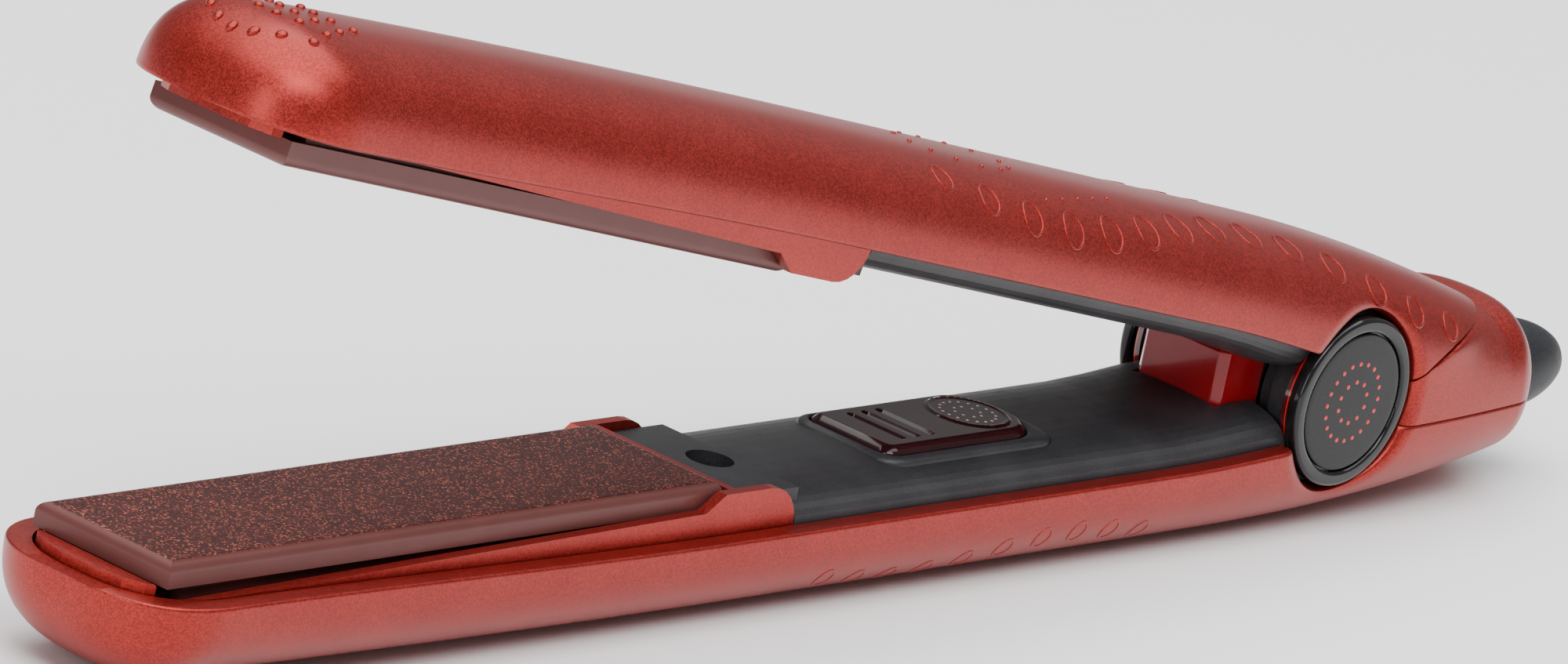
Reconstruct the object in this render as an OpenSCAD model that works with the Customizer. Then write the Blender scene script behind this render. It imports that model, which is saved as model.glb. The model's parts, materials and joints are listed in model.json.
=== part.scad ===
// Hair straightener (flat iron): two arms hinged at the rear, each carrying a floating heated plate.
// Millimetres, +Z up. The lower arm lies on its underside on Z = 0, nose towards -X, cord swivel
// towards +X. Every arm piece is drawn in the arm's own frame, whose z = 0 is the plane where the
// plates meet, with the arm below it; lower_arm() and upper_arm() put it in place.

/* [Overall] */
// Length from the nose to the mouth of the cord swivel
total_len = 266.7; // [262:0.1:272]
// Width of each arm's shell
arm_w = 30; // [29:0.5:32]
// Height of the plates' meeting plane above the underside
arm_depth = 17; // [16.5:0.1:18]
// Angle between the arms at rest, against the opening stop
open_angle = 12.8; // [0:0.1:13]

/* [Shells] */
// Wall thickness of the painted shells
shell_wall = 2.4; // [2:0.1:2.6]
// Distance from the nose to the hinge axis
nose_to_hinge = 210.5; // [210:0.1:211]
// Distance from the hinge axis to the end of the housing
hinge_to_rear = 44.9; // [44.5:0.1:45.4]
// Depth of the shell's rim below the meeting plane at the nose
rim_nose = 4.2; // [4:0.1:4.6]
// Depth of the rim along the handle
rim_mid = 5.7; // [5:0.1:6]
// Depth of the rim behind the hinge, where the rear cover sits on it
rim_rear = 4; // [3.8:0.1:4.2]

/* [Plates] */
// Length of a plate with its rounded ends
plate_len = 92.6; // [90:0.1:93]
// Width of a plate with its rounded edges
plate_w = 21; // [20:0.1:21.4]
// Thickness of a plate's heated slab
plate_t = 3; // [2.5:0.1:3]
// Distance from the nose to the front of the plate
plate_from_nose = 6.2; // [6:0.1:7]
// Clearance from each plate to the meeting plane when the arms are shut
plate_setback = 0.15; // [0.1:0.05:0.3]
// Distance each plate can sink on its springs
plate_float = 0.8; // [0.4:0.1:0.9]

/* [Hinge] */
// Radius of the round end caps
disc_r = 10.7; // [10:0.1:11]
// Radius of the steel axle
axle_r = 2.5; // [2:0.1:3]
// Distance from the centre line to the outer face of each end cap
disc_out = 14.2; // [14:0.1:15]
// Wire diameter of the opening spring
spring_wire = 1; // [0.8:0.1:1.2]
// Number of turns of the opening spring
spring_turns = 6; // [4:1:6]

/* [Power button] */
// Length of the button
button_len = 28.5; // [26:0.5:30]
// Width of the button
button_w = 13.5; // [12:0.5:14]
// Distance from the nose to the button's front edge
button_from_nose = 133; // [130:0.5:136]
// Travel of the button when it is pressed
button_travel = 0.8; // [0.5:0.1:1]

/* [Cord swivel] */
// Radius of the housing's end round the swivel
mouth_r = 6.8; // [6.6:0.1:7]
// Radius of the swivel's dome at its widest
dome_r = 6.05; // [5.8:0.05:6.1]
// Length of half the dome along its axis
dome_a = 14; // [13:0.1:15]
// Depth of the swivel's axis below the meeting plane
swivel_drop = 4.43; // [4.3:0.01:4.5]
// Radius of the cord's hole
cord_r = 2.8; // [2.5:0.1:3]
// Depth of the cord's hole
cord_depth = 7; // [5:0.5:7]

/* [Hidden] */

$fn = 48;
fit = 0.03;              // radial clearance of a static pin
running = 0.05;          // radial clearance of a turning pin
gap = 0.3;               // clearance between neighbouring covers
nose_x = -total_len / 2;
hinge_x = nose_x + nose_to_hinge;
rear_x = hinge_x + hinge_to_rear;
plate_x = nose_x + plate_from_nose;
plate_end = plate_x + plate_len;
plate_mid = plate_x + plate_len / 2;
trim_hw = arm_w / 2 - shell_wall - gap;      // half width of the frames and inner covers
pocket_hw = plate_w / 2 + 0.4;               // half width of the pocket round a plate
ear_x = plate_end + 11.7;                    // rear end of the plate frame's ears
button_x = nose_x + button_from_nose;
block_x = hinge_x - 17;                      // front face of the hinge block
block_hw = 6.5;
block_top = 6;
knuckle_r = 9.6;
shell_cut_r = disc_r + 0.6;
ring_r = disc_r - 0.5;       // radius of the ring behind each end cap
cover_cut_r = ring_r + gap;
dome_x = rear_x - 0.25;                      // centre of the dome's ellipsoid
end_wall_x = rear_x - 6;                     // inner face of the housing's end wall
recess_x = rear_x - 3.2;                     // floor of the recess that the dome turns in
lower_tail = 54.2;                           // where the lower shell's keel starts to rise
upper_tail = 59.2;                           // the same of the upper shell

// ---- arm placement ----

module lower_arm() {
    translate([0, 0, arm_depth]) children();
}

module upper_arm() {
    translate([hinge_x, 0, arm_depth])
        rotate([0, open_angle, 0])
            mirror([0, 0, 1])
                translate([-hinge_x, 0, 0]) children();
}

// ---- outline of an arm ----

// Smooth step from 0 at a to 1 at b
function smooth(a, b, x) = let (s = min(1, max(0, (x - a) / (b - a)))) s * s * (3 - 2 * s);

// Round closing of an end: 1 away from it, 0 at the tip, where s = 1
function closing(s, power) = pow(max(0, 1 - s * s), power);
function nose_s(x, len, inset) = max(0, (nose_x + inset + len - x) / len);
function rear_s(x, len, end) = max(0, (x - end + len) / len);

function rim_at(x) = rim_nose + (rim_mid - rim_nose) * smooth(nose_x, -30, x)
    - (rim_mid - rim_rear) * smooth(45, hinge_x + 14, x);

// Depth of the keel before it is cut flat at arm_depth, rising behind x = tail
function keel_at(x, tail) = arm_depth + 0.3 - 2.2 * pow(max(0, -17 - x) / 116, 2)
    - 0.0013 * pow(max(0, x - tail), 2);

// Value that falls from full to mouth over the last 9 mm before x = end
function to_mouth(x, full, mouth, end) = mouth + (full - mouth) * closing(rear_s(x, 9, end), 1.2);

function half_w(x, inset, end) = to_mouth(x, closing(nose_s(x, 12, inset), 0.34)
    * (arm_w / 2 - inset - 0.0017 * pow(max(0, x - hinge_x), 2)), mouth_r - inset, end);

function belly(x, inset, end, tail) = to_mouth(x, closing(nose_s(x, 9, inset), 0.4)
    * (keel_at(x, tail) - rim_at(x) - inset), mouth_r - inset + swivel_drop - rim_rear, end);

roundness = 2 / 2.6;     // exponent of the superellipse that rounds every section
sides = 20;
function bow(a, e = roundness) = pow(abs(sin(a)), e);
function reach(a, e = roundness) = sign(cos(a)) * pow(abs(cos(a)), e);

// The exponent at x, turning the section into a circle at the mouth
function round_at(x, end) = roundness + (1 - roundness) * smooth(end - 9, end, x);

// Section of the shell at x, with its sides carried up past the rim by the height raise
function shell_ring(x, inset, end, raise, tail) = let (w = half_w(x, inset, end),
        d = belly(x, inset, end, tail), e = round_at(x, end))
    concat(raise > 0 ? [[x, -w, raise - rim_at(x)], [x, w, raise - rim_at(x)]] : [],
        [for (i = [0:sides]) let (a = 180 * i / sides)
            [x, w * reach(a, e), max(-arm_depth + inset, -rim_at(x) - d * bow(a, e))]]);

function stations(first, last) = concat(
    [for (t = [0.05, 0.8, 2.2, 4.5, 8, 12]) first + t],
    [for (i = [1:11]) first + 12 + (last - first - 24) * i / 12],
    [for (t = [12, 9, 7, 5, 3.4, 2, 1, 0]) last - t]);

// Solid skinned over a row of rings of as many points each, clockwise as seen from the last ring
module loft(rings) {
    m = len(rings[0]);
    last = len(rings) - 1;
    polyhedron(
        points = [for (r = rings) each r],
        faces = concat(
            [[for (j = [m - 1:-1:0]) j]],
            [for (k = [0:last - 1], j = [0:m - 1])
                [k * m + j, k * m + (j + 1) % m, (k + 1) * m + j]],
            [for (k = [0:last - 1], j = [0:m - 1])
                [k * m + (j + 1) % m, (k + 1) * m + (j + 1) % m, (k + 1) * m + j]],
            [[for (j = [0:m - 1]) last * m + j]]));
}

module shell_body(inset, end, raise, tail = lower_tail) {
    loft([for (x = stations(nose_x + inset, end)) shell_ring(x, inset, end, raise, tail)]);
}

// Extrusion across the arm of a side view drawn in x and z
module across(width) {
    rotate([90, 0, 0]) linear_extrude(width, center = true) children();
}

// Cylinder across the arm between y0 and y1, centred on the hinge axis
module on_axis(r, y0, y1) {
    translate([hinge_x, y1, 0]) rotate([90, 0, 0]) cylinder(r = r, h = y1 - y0);
}

// The same on both sides of the centre line
module both_sides(r, y0, y1) {
    on_axis(r, y0, y1);
    on_axis(r, -y1, -y0);
}

module box(x0, x1, y0, y1, z0, z1) {
    translate([x0, y0, z0]) cube([x1 - x0, y1 - y0, z1 - z0]);
}

module rounded(len, wide, r) {
    square([len - 2 * r, wide], center = true);
    square([len, wide - 2 * r], center = true);
    for (i = [-1, 1], j = [-1, 1]) translate([i * (len / 2 - r), j * (wide / 2 - r)]) circle(r);
}

// ---- shells ----

frame_screw_x = [plate_x + 5, plate_end - 5];
cover_screw_x = plate_end + 9.7;
hinge_screw_x = [hinge_x - 6, hinge_x + 6];
board_x0 = plate_end + 17;
board_x1 = hinge_x - 27;
board_screw_x = [board_x0 + 4, board_x1 - 4];
board_z = -11.3;         // underside of the circuit board
frame_floor = -10.3;
hinge_base = -11.3;

module boss(x, top, r, bore) {
    base = -arm_depth + 2;
    translate([x, 0, base]) difference() {
        cylinder(r = r, h = top - base);
        translate([0, 0, 1.2]) cylinder(r = bore, h = arm_depth);
    }
}

module shell_bosses() {
    for (x = frame_screw_x) boss(x, frame_floor - 0.05, 2.8, 1.1 + fit);
    for (x = hinge_screw_x) boss(x, hinge_base - 0.05, 3, 1.4 + fit);
    boss(cover_screw_x, -6.4, 2.6, 1.1 + fit);
}

module arm_shell(tail) {
    difference() {
        shell_body(0, rear_x, 0, tail);
        shell_body(shell_wall, end_wall_x, 3, tail);
        on_axis(shell_cut_r, -20, 20);
    }
    shell_bosses();
}

// Bore of the housing's end wall, the seat of the clip and the recess the dome turns in
module swivel_seat() {
    translate([0, 0, -swivel_drop]) rotate([0, 90, 0]) {
        translate([0, 0, end_wall_x - 6]) cylinder(r = 3.9, h = 6);
        translate([0, 0, rear_x - 20]) cylinder(r = 2.9 + 0.07, h = 40);
        translate([0, 0, recess_x]) cylinder(r = dome_r + 0.25, h = 20);
    }
}

module lower_shell() {
    color("firebrick") lower_arm() {
        difference() {
            arm_shell(lower_tail);
            swivel_seat();
        }
        for (x = board_screw_x) boss(x, board_z - 0.05, 2.4, 0.9 + fit);
    }
}

// Height of the tongue's edge over the meeting plane, t behind the hinge axis, arms open
function tongue_line(t) = 7.6 * (1 - exp((9.2 - t) / 8.3));

// Side view of everything under the tongue's edge lowered by drop: cut away from the upper shell
module under_tongue(drop) {
    z0 = arm_depth - drop;
    across(40) polygon(concat(
        [[hinge_x, z0 - 20], [hinge_x, z0 - 3.6]],
        [for (t = [10, 12, 14, 16.5, 19.5, 23.5, 28, 33, 38]) [hinge_x + t, z0 + tongue_line(t)]],
        [[rear_x + 20, z0 + tongue_line(38)], [rear_x + 20, z0 - 20]]));
}

module upper_shell() {
    color("firebrick") difference() {
        upper_arm() arm_shell(upper_tail);
        under_tongue(0);
    }
}

// Height of the rear cover over the rim: steep sided under the tongue, then down to the mouth
function cover_height(x) = let (t = max(0, hinge_x + 32.8 - x)) 11.1 + 0.42 * t + 0.0002 * pow(t, 4);

// Section of the rear cover: a superellipse standing on the lower shell's rim
function cover_ring(x, inset, end) = let (base = 0.05 - rim_rear, w = half_w(x, inset, end),
        d = to_mouth(x, cover_height(x) - inset, mouth_r - inset - swivel_drop - base, end),
        e = round_at(x, end))
    concat([[x, w, base], [x, -w, base]],
        [for (i = [0:sides]) let (a = 180 * i / sides) [x, -w * reach(a, e), base + d * bow(a, e)]]);

module rear_cover() {
    front = hinge_x + shell_cut_r;
    last = rear_x - front;
    color("firebrick") difference() {
        intersection() {
            lower_arm() loft([for (t = [0, 4, 8, 12, 16, 20, last - 9, last - 7, last - 5, last - 3.4,
                last - 2, last - 1, last]) cover_ring(front + t, 0, rear_x)]);
            under_tongue(gap);
        }
        intersection() {
            lower_arm() loft([for (t = [-1, 6, 12, 18, last - 15, last - 11, last - 8, last - 6])
                cover_ring(front + t, 1.9, end_wall_x)]);
            under_tongue(gap + 1.9);
        }
        lower_arm() swivel_seat();
    }
}

// ---- inner covers ----

// Height of the crown below the meeting plane: level, then swelling up round the hinge block
function crown_at(x) = 2.0 - 1.1 * smooth(block_x - 7, block_x - 0.5, x);

function crown_ring(x, inset, base) = let (h = rim_at(x) - crown_at(x) - inset)
    concat([[x, trim_hw - inset, -rim_at(x) - base], [x, inset - trim_hw, -rim_at(x) - base]],
        [for (i = [0:sides]) let (a = 180 * i / sides)
            [x, -(trim_hw - inset) * reach(a), -rim_at(x) + h * bow(a)]]);

module inner_cover(slot_x, slot_hw) {
    x0 = ear_x + 0.15;
    x1 = hinge_x;
    difference() {
        union() {
            difference() {
                loft([for (i = [0:14]) crown_ring(x0 + (x1 - x0) * i / 14, 0, 2)]);
                loft([for (i = [-1:14]) crown_ring(x0 + 1.5 + (x1 - x0) * i / 14, 1.5, 3)]);
            }
            // bridge between the plate frame's ears
            difference() {
                box(plate_end + 1.8, x0 + 1.5, -pocket_hw + 0.15, pocket_hw - 0.15, -6.2, -1.9);
                box(plate_end + 3.3, x0 + 3, 2 - pocket_hw, pocket_hw - 2, -7, -3.6);
            }
            translate([cover_screw_x, 0, -6.2]) cylinder(r = 4.6, h = 4.25);
        }
        translate([cover_screw_x, 0, -4.4]) cylinder(r = 2.9, h = 10);
        translate([cover_screw_x, 0, -10]) cylinder(r = 1.1 + fit, h = 10);
        on_axis(cover_cut_r, -20, 20);
        box(slot_x, hinge_x, -slot_hw, slot_hw, -20, 20);
    }
}

module lower_inner_cover() {
    color("dimgray") lower_arm() difference() {
        inner_cover(block_x - 0.1, block_hw + 0.1);
        translate([button_x + button_len / 2, 0, -8])
            linear_extrude(10) rounded(button_len + 3.4, button_w + 3.4, 4);
    }
}

module upper_inner_cover() {
    color("dimgray") upper_arm() inner_cover(block_x - 1.4, block_hw + 0.5);
}

// ---- plate frames ----

// Top line of the frame in side view: front lip, side walls, then the ears beside the plate's end
module frame_side() {
    polygon(concat(
        [[nose_x, frame_floor], [nose_x, -3.3], [plate_x - 2.6, -3], [plate_x - 0.6, -3],
            [plate_x + 1, -4.4], [plate_mid, -3.5], [plate_end - 4.4, -2.8], [plate_end - 1.4, -0.8]],
        [for (a = [90:-15:0]) [ear_x - 5 + 5 * cos(a), -5.8 + 5 * sin(a)]],
        [[ear_x, frame_floor]]));
}

module plate_frame() {
    difference() {
        intersection() {
            shell_body(shell_wall + gap, rear_x, 5);
            across(40) frame_side();
        }
        box(plate_x - 0.4, plate_end + 0.4, -pocket_hw, pocket_hw, -8.5, 5);
        box(plate_end + 1.6, ear_x + 1, -pocket_hw, pocket_hw, -20, 5);
        box(plate_end, plate_end + 3, -4.5, 4.5, -8.5, -6);
        for (x = frame_screw_x) translate([x, 0, 0]) {
            translate([0, 0, -9.65]) cylinder(r = 2.5, h = 5);
            translate([0, 0, -12]) cylinder(r = 1.1 + fit, h = 10);
        }
    }
    for (x = [plate_x + 14, plate_mid, plate_end - 14], s = [-1, 1])
        translate([x, s * (pocket_hw - 0.7), -5.65]) cube([8, 1.5, 0.8], center = true);
}

module lower_plate_frame() {
    color("indianred") lower_arm() plate_frame();
}

module upper_plate_frame() {
    color("indianred") upper_arm() plate_frame();
}

// ---- heated plates ----

slab_z = -plate_setback - plate_t;      // underside of the slab

module plate() {
    r = 1.3;
    hw = plate_w / 2;
    intersection() {
        translate([plate_x, 0, 0]) rotate([90, 0, 90]) linear_extrude(plate_len) {
            // slab with rounded upper edges
            translate([-hw, slab_z]) square([2 * hw, plate_t - r]);
            translate([r - hw, slab_z]) square([2 * (hw - r), plate_t]);
            for (s = [-1, 1]) translate([s * (hw - r), -plate_setback - r]) circle(r);
            // rails that clip the heater in and hook under the frame's tabs
            for (s = [-1, 1]) scale([s, 1]) {
                translate([7.6, -7]) square([1.4, 7 + slab_z + 0.5]);
                translate([6.6, -7]) square([3.5, 0.8]);
            }
        }
        across(40) union() {
            translate([plate_x + 4, slab_z - 5]) square([plate_len - 8, 6]);
            translate([plate_x, slab_z]) square([plate_len, plate_t - r]);
            translate([plate_x + r, slab_z]) square([plate_len - 2 * r, plate_t]);
            for (x = [plate_x + r, plate_end - r]) translate([x, -plate_setback - r]) circle(r);
        }
    }
}

module heater() {
    box(plate_x + 14, plate_end - 14, -6, 6, slab_z - 1.2, slab_z);
}

module heater_clip() {
    web = slab_z - 1.2;
    box(plate_x + 12, plate_end - 12, -6.4, 6.4, web - 0.6, web);
    for (s = [0, 1]) mirror([0, s, 0]) box(plate_x + 12, plate_end - 12, 5.4, 6.4, -6.9, web - 0.3);
}

module along(x, y, z, r, len) {
    translate([x, y, z]) rotate([0, 90, 0]) cylinder(r = r, h = len);
}

under_clip = slab_z - 1.8;

module heat_sensor() {
    along(plate_mid - 18, 0, under_clip - 0.95, 0.9, 5);
}

module thermal_fuse() {
    along(plate_mid + 8, 0, under_clip - 0.95, 0.9, 9);
}

module heat_shield() {
    box(frame_screw_x[0] + 3, frame_screw_x[1] - 3, -9, 9, -8.45, -8.15);
}

// Bowed strips of spring steel between the heat shield and the plate's rails
module plate_springs() {
    for (x = [plate_mid - 28, plate_mid + 28], s = [-1, 1]) translate([x, s * 8.2, -8.13])
        across(1.4) polygon(concat(
            [for (t = [-12:2:12]) [t, 1.05 - 0.8 * pow(t / 12, 2)]],
            [for (t = [12:-2:-12]) [t, 0.8 - 0.8 * pow(t / 12, 2)]]));
}

module lower_plate() { color("maroon") lower_arm() plate(); }
module upper_plate() { color("maroon") upper_arm() plate(); }
module lower_heater() { color("white") lower_arm() heater(); }
module upper_heater() { color("white") upper_arm() heater(); }
module lower_heater_clip() { color("silver") lower_arm() heater_clip(); }
module upper_heater_clip() { color("silver") upper_arm() heater_clip(); }
module lower_heat_sensor() { color("orange") lower_arm() heat_sensor(); }
module upper_heat_sensor() { color("orange") upper_arm() heat_sensor(); }
module lower_thermal_fuse() { color("gold") lower_arm() thermal_fuse(); }
module upper_thermal_fuse() { color("gold") upper_arm() thermal_fuse(); }
module lower_heat_shield() { color("wheat") lower_arm() heat_shield(); }
module upper_heat_shield() { color("wheat") upper_arm() heat_shield(); }
module lower_plate_springs() { color("silver") lower_arm() plate_springs(); }
module upper_plate_springs() { color("silver") upper_arm() plate_springs(); }

// ---- fasteners ----

// Pan head screw whose head stands on z = top
module screw(x, top, head_r, head_h, shank_r, len) {
    translate([x, 0, top]) {
        difference() {
            cylinder(r = head_r, h = head_h);
            for (a = [0, 90])
                translate([0, 0, head_h]) rotate(a) cube([head_r * 1.2, 0.5, 0.9], center = true);
        }
        translate([0, 0, -len]) cylinder(r = shank_r, h = len + 0.1);
    }
}

module frame_screws() {
    for (x = frame_screw_x) screw(x, -9.65, 2.2, 1, 1.1, 3.1);
}

module hinge_screws() {
    for (x = hinge_screw_x) screw(x, -9.2, 2.6, 1.3, 1.4, 4.4);
}

module lower_frame_screws() { color("silver") lower_arm() frame_screws(); }
module upper_frame_screws() { color("silver") upper_arm() frame_screws(); }
module lower_cover_screw() { color("dimgray") lower_arm() screw(cover_screw_x, -4.4, 2.1, 1.1, 1.1, 8); }
module upper_cover_screw() { color("dimgray") upper_arm() screw(cover_screw_x, -4.4, 2.1, 1.1, 1.1, 8); }
module lower_hinge_screws() { color("silver") lower_arm() hinge_screws(); }
module upper_hinge_screws() { color("silver") upper_arm() hinge_screws(); }
module board_screws() {
    color("silver") lower_arm() for (x = board_screw_x) screw(x, board_z + 1.2, 1.8, 0.9, 0.9, 3.2);
}

// ---- hinge ----

// Bracket screwed into an arm, with an eye on each side
module hinge_frame(y0, y1, r, bore) {
    difference() {
        union() {
            both_sides(r, y0, y1);
            for (s = [0, 1]) mirror([0, s, 0])
                box(hinge_x - r * 0.8, hinge_x + r * 0.8, y0, min(y1, 10), hinge_base, -5);
            box(hinge_x - 9, hinge_x + 9, -y0 - 0.5, y0 + 0.5, hinge_base, -9.2);
        }
        on_axis(bore, -20, 20);
        for (x = hinge_screw_x) translate([x, 0, -20]) cylinder(r = 1.4 + fit, h = 20);
    }
}

module lower_hinge_frame() {
    color("black") lower_arm() hinge_frame(8.7, 11, knuckle_r, axle_r + fit);
}

bush_r = 3.6;
module upper_hinge_frame() {
    color("gray") upper_arm() hinge_frame(6.6, 8.5, 8.6, bush_r + fit);
}

module hinge_bushes() {
    color("goldenrod") upper_arm() difference() {
        both_sides(bush_r, 6.5, 8.55);
        on_axis(axle_r + running, -20, 20);
    }
}

module hinge_axle() {
    color("silver") lower_arm() on_axis(axle_r, -12.9, 12.9);
}

module disc_cap() {
    difference() {
        on_axis(disc_r, 12.3, disc_out);
        on_axis(disc_r - 1.9, disc_out - 0.8, disc_out + 1);
        on_axis(axle_r + fit, 0, 13);
    }
}

module disc_face() {
    on_axis(disc_r - 2, disc_out - 0.78, disc_out - 0.2);
}

module light_ring() {
    difference() {
        on_axis(ring_r, 11.1, 12.25);
        on_axis(5, 10, 13);
    }
}

module disc_cap_near() { color("black") lower_arm() mirror([0, 1, 0]) disc_cap(); }
module disc_cap_far() { color("black") lower_arm() disc_cap(); }
module disc_face_near() { color("black") lower_arm() mirror([0, 1, 0]) disc_face(); }
module disc_face_far() { color("black") lower_arm() disc_face(); }
module light_ring_near() { color("darkred") lower_arm() mirror([0, 1, 0]) light_ring(); }
module light_ring_far() { color("darkred") lower_arm() light_ring(); }

// Glossy guard in front of the hinge, standing up between the arms
module hinge_block() {
    color("red") lower_arm() difference() {
        translate([0, 0, -8.5]) linear_extrude(block_top + 8.5) polygon([
            [block_x, 1 - block_hw], [block_x + 1, -block_hw], [hinge_x - 8, -block_hw],
            [hinge_x - 8, block_hw], [block_x + 1, block_hw], [block_x, block_hw - 1]]);
        box(block_x + 1.5, hinge_x, 1.5 - block_hw, block_hw - 1.5, -20, block_top - 1.5);
        // way through the front wall for the leads
        box(block_x - 1, block_x + 2, 1.5 - block_hw, block_hw - 1.5, -20, -7.2);
    }
}

// Helix across the arm with one straight leg under each hinge frame
coil_r = 4.3;
coil_half = spring_turns * 1.4 / 2;
coil_steps = spring_turns * 16;
function coil_point(i) = let (a = -90 + 360 * i / 16)
    [hinge_x + coil_r * cos(a), -coil_half + 1.4 * i / 16, coil_r * sin(a)];
coil_path = concat(
    [[hinge_x - 11, -coil_half, -coil_r - 2], [hinge_x - 5, -coil_half, -coil_r - 0.5]],
    [for (i = [0:coil_steps]) coil_point(i)],
    [[hinge_x + 5, coil_half, -coil_r - 0.5], [hinge_x + 10, coil_half, -coil_r - 2]]);

function unit(v) = v / norm(v);

// Tube of 8 sides swept along a path that runs mostly across the y axis
module swept_wire(path, r) {
    last = len(path) - 1;
    loft([for (k = [0:last]) let (t = unit(path[min(last, k + 1)] - path[max(0, k - 1)]),
            u = unit(cross(t, [0, 1, 0])), v = cross(t, u))
        [for (j = [0:7]) path[k] + r * (cos(45 * j) * u - sin(45 * j) * v)]]);
}

module opening_spring() {
    color("silver") lower_arm() swept_wire(coil_path, spring_wire / 2);
}

// ---- power button ----

button_top = -0.8;
module button_surround() {
    color("dimgray") lower_arm() translate([button_x + button_len / 2, 0, -5.5])
        linear_extrude(3.9) difference() {
            rounded(button_len + 3.2, button_w + 3.2, 3.9);
            rounded(button_len + 0.4, button_w + 0.4, 2.7);
        }
}

module power_button() {
    mid = button_x + button_len / 2;
    color("black") lower_arm() difference() {
        union() {
            translate([mid, 0, -4.6]) linear_extrude(4.6 + button_top) rounded(button_len, button_w, 2.5);
            translate([mid, 0, -7.05]) cylinder(r = 2, h = 3);
        }
        for (i = [0:2]) translate([button_x + 5 + 2.5 * i, 0, button_top])
            cube([0.9, button_w - 5, 1.2], center = true);
    }
}

module push_switch() {
    mid = button_x + button_len / 2;
    color("dimgray") lower_arm() {
        box(mid - 3, mid + 3, -3, 3, board_z + 1.2, -8.6);
        translate([mid, 0, -8.7]) cylinder(r = 1.4, h = 0.75);
    }
}

// ---- electronics ----

module control_board() {
    color("seagreen") lower_arm() difference() {
        box(board_x0, board_x1, -8, 8, board_z, board_z + 1.2);
        for (x = board_screw_x) translate([x, 0, -20]) cylinder(r = 0.9 + fit, h = 20);
    }
}

board_top = board_z + 1.2;

module power_module() {
    color("black") lower_arm() box(board_x1 - 20, board_x1 - 8, -6, 6, board_top, board_top + 5);
}

module smoothing_capacitor() {
    color("navy") lower_arm() along(board_x0 + 6, 4.3, board_top + 2.6, 2.5, 9);
}

module buzzer() {
    color("black") lower_arm() translate([board_x0 + 11, -4, board_top]) cylinder(r = 3.8, h = 3.5);
}

module controller_chip() {
    color("black") lower_arm() box(board_x0 + 20, board_x0 + 26, -7, -1, board_top, board_top + 1);
}

module status_lamp() {
    color("red") lower_arm() translate([board_x1 - 3, 6.3, board_top]) cylinder(r = 1.5, h = 2.6);
}

// Two insulated wires side by side, from x0 to x1
wire_r = 0.8;
wire_y = 3.8;
module wire_pair(x0, x1, z) {
    for (s = [-1, 1]) along(x0, s * wire_y, z, wire_r, x1 - x0);
}

heater_wire_z = -7.3;
module lower_wiring() {
    color("darkred") lower_arm() {
        wire_pair(plate_end + 1.8, board_x0 + 2.8, heater_wire_z);
        wire_pair(board_x1 - 6, end_wall_x - 14.1, -8.2);
    }
}

module upper_wiring() {
    color("darkred") upper_arm() wire_pair(plate_end + 1.8, block_x - 4.2, heater_wire_z);
}

// ---- cord swivel ----

dome_mouth = total_len / 2;
module turned(profile) {
    translate([0, 0, -swivel_drop]) rotate([0, 90, 0]) rotate_extrude() polygon(profile);
}

module cord_swivel() {
    base = recess_x + 0.2;
    cosine = (dome_mouth - dome_x) / dome_a;
    a1 = acos(cosine);
    a0 = acos((base - dome_x) / dome_a);
    color("black") lower_arm() difference() {
        turned(concat(
            [[0, end_wall_x - 14], [2, end_wall_x - 14], [2, end_wall_x - 3],
                [2.9, end_wall_x - 3], [2.9, base]],
            [for (i = [0:12]) let (a = a0 + (a1 - a0) * i / 12) [dome_r * sin(a), dome_x + dome_a * cos(a)]],
            [[0, dome_mouth]]));
        along(dome_mouth - cord_depth, 0, -swivel_drop, cord_r, cord_depth + 5);
        // groove for the clip
        turned([[2.5, end_wall_x - 1.2], [4, end_wall_x - 1.2],
            [4, end_wall_x - 0.2], [2.5, end_wall_x - 0.2]]);
    }
}

module swivel_clip() {
    color("silver") lower_arm() turned([[2.52, end_wall_x - 1.1], [3.7, end_wall_x - 1.1],
        [3.7, end_wall_x - 0.3], [2.52, end_wall_x - 0.3]]);
}

module slip_rings() {
    color("gold") lower_arm() for (t = [-12, -8]) turned([[2.02, end_wall_x + t], [2.8, end_wall_x + t],
        [2.8, end_wall_x + t + 2], [2.02, end_wall_x + t + 2]]);
}

module brush_block() {
    color("dimgray") lower_arm() box(end_wall_x - 14, end_wall_x - 6, -3, 3, -9.2, -swivel_drop - 2.95);
}

// ---- choice of node ----

lower_shell();
rear_cover();
lower_inner_cover();
lower_plate_frame();
button_surround();
lower_hinge_frame();
hinge_axle();
disc_cap_near();
disc_cap_far();
disc_face_near();
disc_face_far();
light_ring_near();
light_ring_far();
hinge_block();
opening_spring();
lower_heat_shield();
lower_plate_springs();
control_board();
power_module();
smoothing_capacitor();
buzzer();
controller_chip();
push_switch();
status_lamp();
board_screws();
lower_frame_screws();
lower_cover_screw();
lower_hinge_screws();
lower_wiring();
brush_block();
lower_plate();
lower_heater();
lower_heater_clip();
lower_heat_sensor();
lower_thermal_fuse();
upper_shell();
upper_inner_cover();
upper_plate_frame();
upper_hinge_frame();
hinge_bushes();
upper_heat_shield();
upper_plate_springs();
upper_frame_screws();
upper_cover_screw();
upper_hinge_screws();
upper_wiring();
upper_plate();
upper_heater();
upper_heater_clip();
upper_heat_sensor();
upper_thermal_fuse();
power_button();
cord_swivel();
slip_rings();
swivel_clip();
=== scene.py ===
"""Hair straightener: two painted arms on a rear hinge, floating glitter plates, a gloss power button,
round gloss end caps on the hinge and a matte swivel where the cord leaves.

Shapes are worked out in millimetres in an arm's own frame: x runs from the nose to the rear, y runs
across, and z = 0 is the plane where the plates meet, with the arm below it. on_lower() and on_upper()
put such points in their place on the object.
"""
import json
import math

import bmesh
import bpy
import numpy as np
from mathutils import Matrix, Vector


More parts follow.
